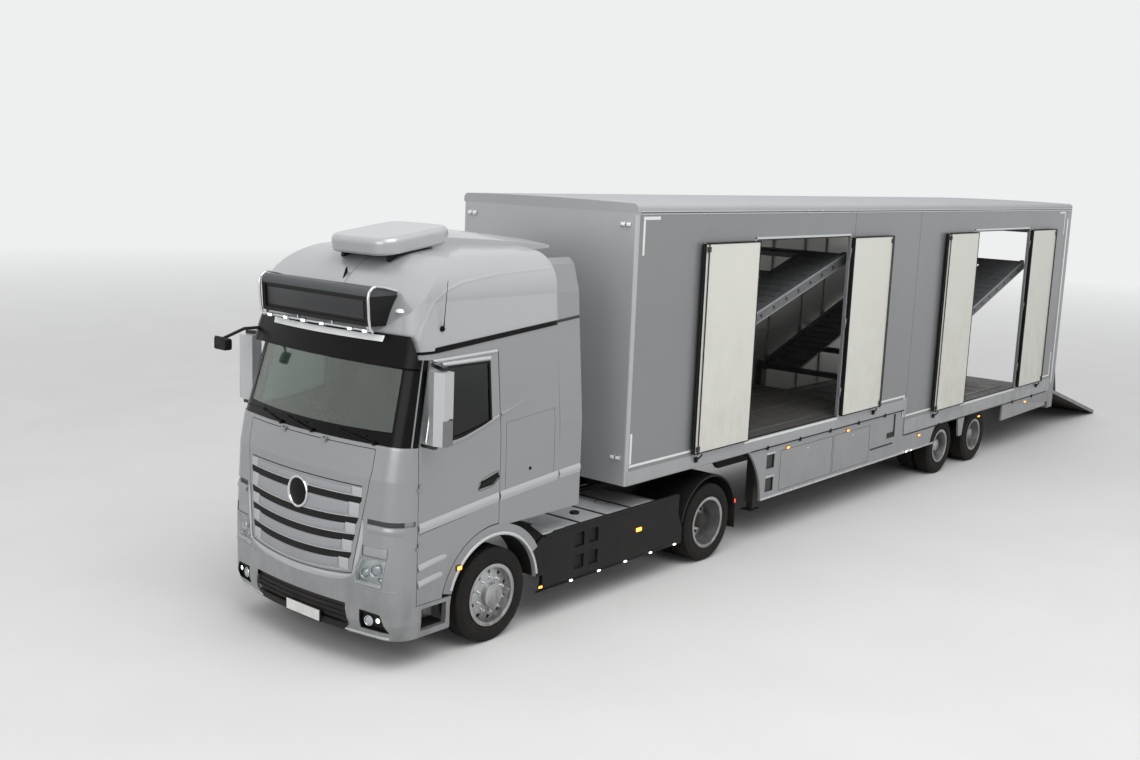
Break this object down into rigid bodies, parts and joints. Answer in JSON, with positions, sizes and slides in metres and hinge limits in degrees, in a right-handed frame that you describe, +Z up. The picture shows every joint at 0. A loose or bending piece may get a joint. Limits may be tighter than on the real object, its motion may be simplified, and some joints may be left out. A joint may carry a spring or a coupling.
{
  "type": "car transporter truck",
  "caption": "Enclosed articulated car transporter: a high-roof tractor and a double-deck box trailer with side doors open, ramp down and sloping upper decks.",
  "frame": {"origin": "on the ground, below the middle of the bounding box", "axes": "+X towards the rear of the trailer, +Y to the right of the vehicle, +Z up"},
  "size_m": [19.1318, 3, 4.255],
  "materials": {
    "cab_paint": "satin metallic silver grey",
    "roof_paint": "satin pale silver grey",
    "black_plastic": "matte",
    "glazing": "clear with a green tint",
    "lamp_lens": "clear lens over bright reflectors",
    "mirror_shell": "silver",
    "trim_dark": "grained",
    "seat_cloth": "woven",
    "wheel_metal": "machined",
    "trailer_rim": "satin silver",
    "tyre_rubber": "matte",
    "chassis_steel": "satin dark grey",
    "forged_steel": "rough",
    "tank_metal": "brushed",
    "mudguard_plastic": "matte",
    "body_grey": "satin",
    "body_roof": "satin",
    "post_silver": "satin silver",
    "door_cream": "satin cream",
    "floor_grey": "chequered plate",
    "deck_grey": "galvanized",
    "ramp_black": "matte black"
  },
  "bodies": {
    "tractor": {"chassis_frame": "chassis_steel", "tractor_axles": "forged_steel", "headlamps": "lamp_lens", "front_bumper": "cab_paint", "windscreen": "glazing", "cab_shell": "cab_paint", "cab_roof": "roof_paint", "sun_visor": "black_plastic", "light_box": "black_plastic", "side_extensions": "cab_paint", "dashboard": "trim_dark", "seats_and_bunk": "seat_cloth", "engine_block": "forged_steel", "side_tanks": "tank_metal", "side_skirts": "black_plastic", "mudguards": "mudguard_plastic", "fifth_wheel": "chassis_steel"},
    "knuckle_left": {"knuckle_left": "forged_steel"},
    "knuckle_right": {"knuckle_right": "forged_steel"},
    "front_wheel_left": {"front_tyre_left": "tyre_rubber", "front_rim_left": "wheel_metal"},
    "front_wheel_right": {"front_tyre_right": "tyre_rubber", "front_rim_right": "wheel_metal"},
    "drive_wheels_left": {"drive_tyres_left": "tyre_rubber", "drive_rims_left": "wheel_metal"},
    "drive_wheels_right": {"drive_tyres_right": "tyre_rubber", "drive_rims_right": "wheel_metal"},
    "steering_wheel": {"steering_wheel": "trim_dark"},
    "cab_door_left": {"cab_door_left": "cab_paint", "door_glass_left": "glazing", "mirror_left": "mirror_shell"},
    "cab_door_right": {"cab_door_right": "cab_paint", "door_glass_right": "glazing", "mirror_right": "mirror_shell"},
    "front_flap": {"front_flap": "cab_paint"},
    "trailer": {"trailer_wall_left": "body_grey", "trailer_wall_right": "body_grey", "trailer_front_wall": "body_grey", "trailer_roof": "body_roof", "trailer_floor": "floor_grey", "trailer_frame": "chassis_steel", "rear_frame": "post_silver", "trailer_skirts": "body_grey", "trailer_axles": "forged_steel", "landing_legs": "chassis_steel"},
    "front_upper_deck": {"front_upper_deck": "deck_grey"},
    "rear_upper_deck": {"rear_upper_deck": "deck_grey"},
    "rear_ramp": {"rear_ramp": "ramp_black"},
    "side_door_1": {"side_door_1": "door_cream"},
    "side_door_2": {"side_door_2": "door_cream"},
    "side_door_3": {"side_door_3": "door_cream"},
    "side_door_4": {"side_door_4": "door_cream"},
    "trailer_wheels_1_left": {"trailer_tyres_1_left": "tyre_rubber", "trailer_rims_1_left": "trailer_rim"},
    "trailer_wheels_1_right": {"trailer_tyres_1_right": "tyre_rubber", "trailer_rims_1_right": "trailer_rim"},
    "trailer_wheels_2_left": {"trailer_tyres_2_left": "tyre_rubber", "trailer_rims_2_left": "trailer_rim"},
    "trailer_wheels_2_right": {"trailer_tyres_2_right": "tyre_rubber", "trailer_rims_2_right": "trailer_rim"}
  },
  "joints": [
    {"name": "steer_left", "type": "hinge", "parent": "tractor", "child": "knuckle_left", "pos_m": [-8.15596, -0.9475, 0.47], "axis": [0, 0, 1], "range_deg": [-40, 40]},
    {"name": "front_wheel_left_spin", "type": "hinge", "parent": "knuckle_left", "child": "front_wheel_left", "pos_m": [-8.15596, -1.0825, 0.47], "axis": [0, 1, 0], "continuous": true},
    {"name": "drive_wheels_left_spin", "type": "hinge", "parent": "tractor", "child": "drive_wheels_left", "pos_m": [-4.45596, -1.0825, 0.47], "axis": [0, 1, 0], "continuous": true},
    {"name": "steer_right", "type": "hinge", "parent": "tractor", "child": "knuckle_right", "pos_m": [-8.15596, 0.9475, 0.47], "axis": [0, 0, 1], "range_deg": [-40, 40]},
    {"name": "front_wheel_right_spin", "type": "hinge", "parent": "knuckle_right", "child": "front_wheel_right", "pos_m": [-8.15596, 1.0825, 0.47], "axis": [0, 1, 0], "continuous": true},
    {"name": "drive_wheels_right_spin", "type": "hinge", "parent": "tractor", "child": "drive_wheels_right", "pos_m": [-4.45596, 1.0825, 0.47], "axis": [0, 1, 0], "continuous": true},
    {"name": "steering_wheel_turn", "type": "hinge", "parent": "tractor", "child": "steering_wheel", "pos_m": [-8.77596, 0.56, 2.08], "axis": [0.6157, 0, 0.788], "range_deg": [-725, 725]},
    {"name": "cab_door_left_hinge", "type": "hinge", "parent": "tractor", "child": "cab_door_left", "pos_m": [-9.16796, -1.26, 1.5], "axis": [0, 0, -1], "range_deg": [0, 70]},
    {"name": "cab_door_right_hinge", "type": "hinge", "parent": "tractor", "child": "cab_door_right", "pos_m": [-9.16796, 1.26, 1.5], "axis": [0, 0, 1], "range_deg": [0, 70]},
    {"name": "front_flap_hinge", "type": "hinge", "parent": "tractor", "child": "front_flap", "pos_m": [-9.48164, 0, 2.049], "axis": [0, 1, 0], "range_deg": [0, 80]},
    {"name": "trailer_yaw", "type": "hinge", "parent": "tractor", "child": "trailer", "pos_m": [-5.05596, 0, 1.165], "axis": [0, 0, 1], "range_deg": [-90, 90]},
    {"name": "trailer_wheels_1_left_spin", "type": "hinge", "parent": "trailer", "child": "trailer_wheels_1_left", "pos_m": [2.04904, -1.1, 0.44], "axis": [0, 1, 0], "continuous": true},
    {"name": "trailer_wheels_1_right_spin", "type": "hinge", "parent": "trailer", "child": "trailer_wheels_1_right", "pos_m": [2.04904, 1.1, 0.44], "axis": [0, 1, 0], "continuous": true},
    {"name": "trailer_wheels_2_left_spin", "type": "hinge", "parent": "trailer", "child": "trailer_wheels_2_left", "pos_m": [3.35904, -1.1, 0.44], "axis": [0, 1, 0], "continuous": true},
    {"name": "trailer_wheels_2_right_spin", "type": "hinge", "parent": "trailer", "child": "trailer_wheels_2_right", "pos_m": [3.35904, 1.1, 0.44], "axis": [0, 1, 0], "continuous": true},
    {"name": "side_door_1_hinge", "type": "hinge", "parent": "trailer", "child": "side_door_1", "pos_m": [-3.84096, -1.287, 2.5], "axis": [0, 0, 1], "range_deg": [0, 180]},
    {"name": "side_door_2_hinge", "type": "hinge", "parent": "trailer", "child": "side_door_2", "pos_m": [-1.52096, -1.287, 2.5], "axis": [0, 0, 1], "range_deg": [-180, 0]},
    {"name": "side_door_3_hinge", "type": "hinge", "parent": "trailer", "child": "side_door_3", "pos_m": [2.56904, -1.287, 2.5], "axis": [0, 0, 1], "range_deg": [0, 180]},
    {"name": "side_door_4_hinge", "type": "hinge", "parent": "trailer", "child": "side_door_4", "pos_m": [4.84904, -1.287, 2.5], "axis": [0, 0, 1], "range_deg": [-180, 0]},
    {"name": "front_upper_deck_hinge", "type": "hinge", "parent": "trailer", "child": "front_upper_deck", "pos_m": [-5.83096, 0, 2.12], "axis": [0, 1, 0], "range_deg": [0, 23.6]},
    {"name": "rear_upper_deck_hinge", "type": "hinge", "parent": "trailer", "child": "rear_upper_deck", "pos_m": [0.46904, 0, 1.6], "axis": [0, 1, 0], "range_deg": [0, 22.8]},
    {"name": "rear_ramp_hinge", "type": "hinge", "parent": "trailer", "child": "rear_ramp", "pos_m": [6.85104, 0, 0.83], "axis": [0, -1, 0], "range_deg": [0, 105.69]}
  ],
  "couplings": [
    {"joint": "steer_right", "follows": "steer_left", "ratio": 1},
    {"joint": "steering_wheel_turn", "follows": "steer_left", "ratio": 18}
  ]
}
